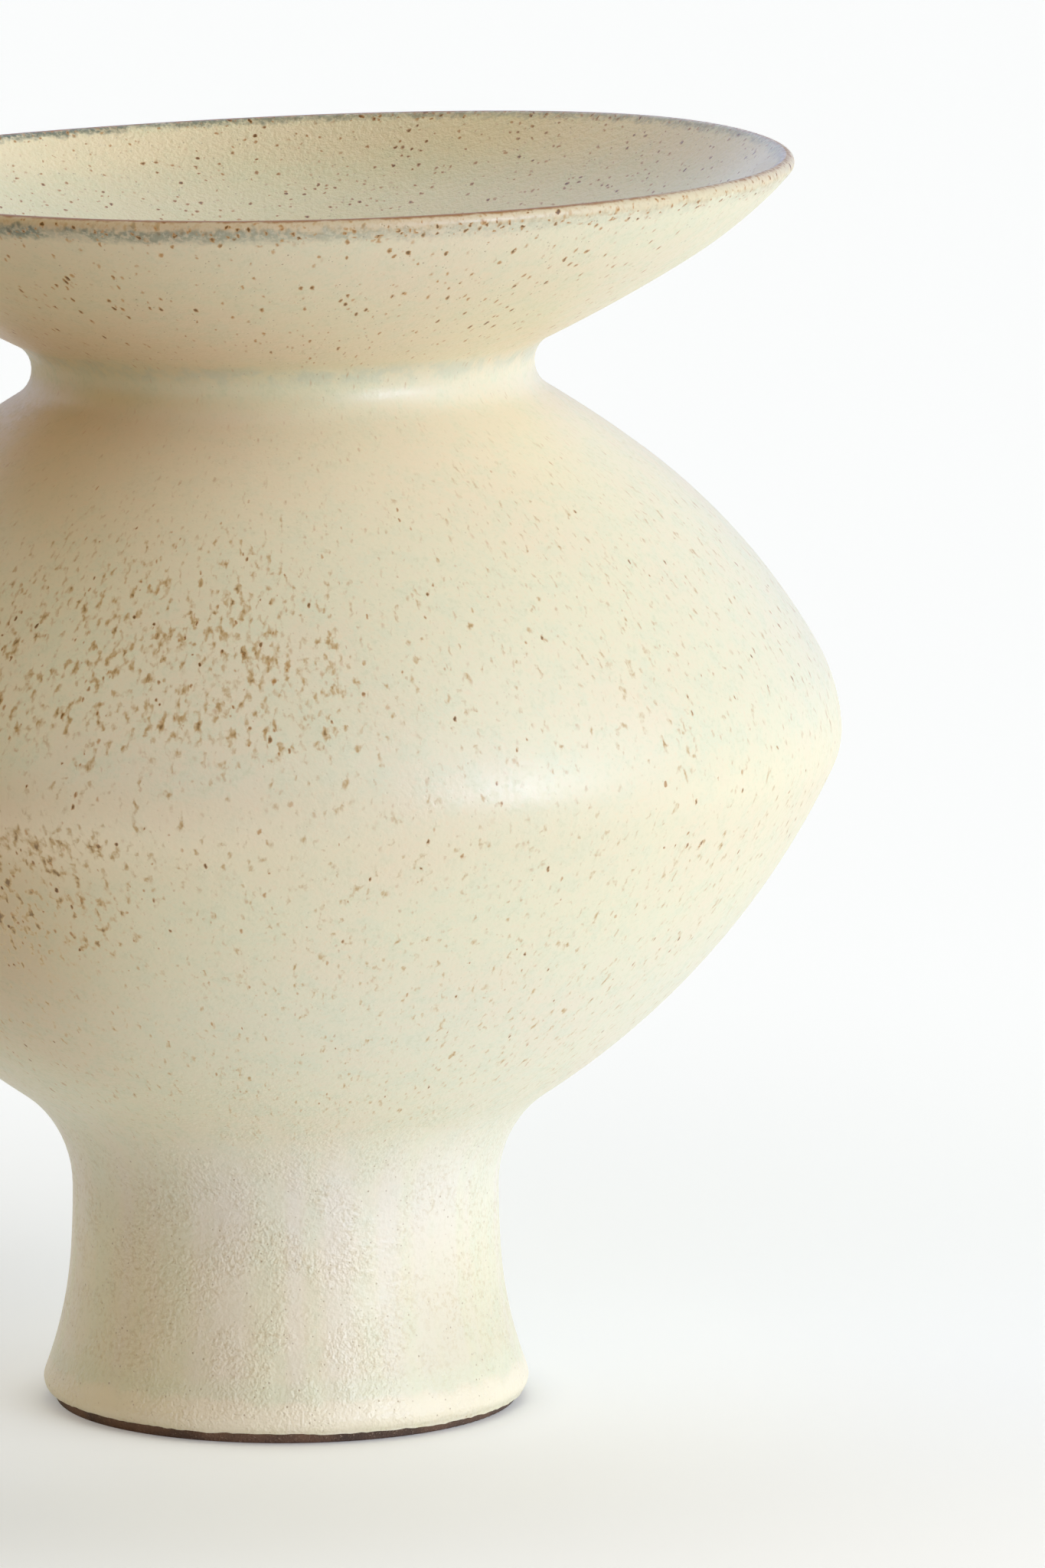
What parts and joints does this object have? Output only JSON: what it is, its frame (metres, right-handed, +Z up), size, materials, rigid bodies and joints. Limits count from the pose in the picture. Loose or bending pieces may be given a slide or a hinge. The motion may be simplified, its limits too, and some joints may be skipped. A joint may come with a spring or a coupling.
{
  "type": "pottery vase",
  "caption": "Wheel-thrown stoneware vase with a flared pedestal, wide ridged belly, tight neck and broad dished rim, in satin cream glaze with iron speckles.",
  "frame": {"origin": "on the vase's axis, in the plane that its foot ring stands on", "axes": "+Z up the axis of the wheel-thrown form, -Y towards the viewer"},
  "size_m": [0.2726, 0.2724, 0.305],
  "materials": {
    "bare_clay": "matt, toasted iron-bearing stoneware",
    "slip": "matt fired slip",
    "outer_glaze": "satin cream glaze with iron speckles",
    "inner_glaze": "satin cream glaze with iron speckles"
  },
  "bodies": {
    "root": {"pedestal_foot": "bare_clay", "lower_bowl": "bare_clay", "upper_dome": "bare_clay", "flared_dish": "bare_clay", "waist_slip_seam": "slip", "belly_slip_seam": "slip", "neck_slip_seam": "slip", "outer_glaze": "outer_glaze", "inner_glaze": "inner_glaze"}
  },
  "joints": []
}
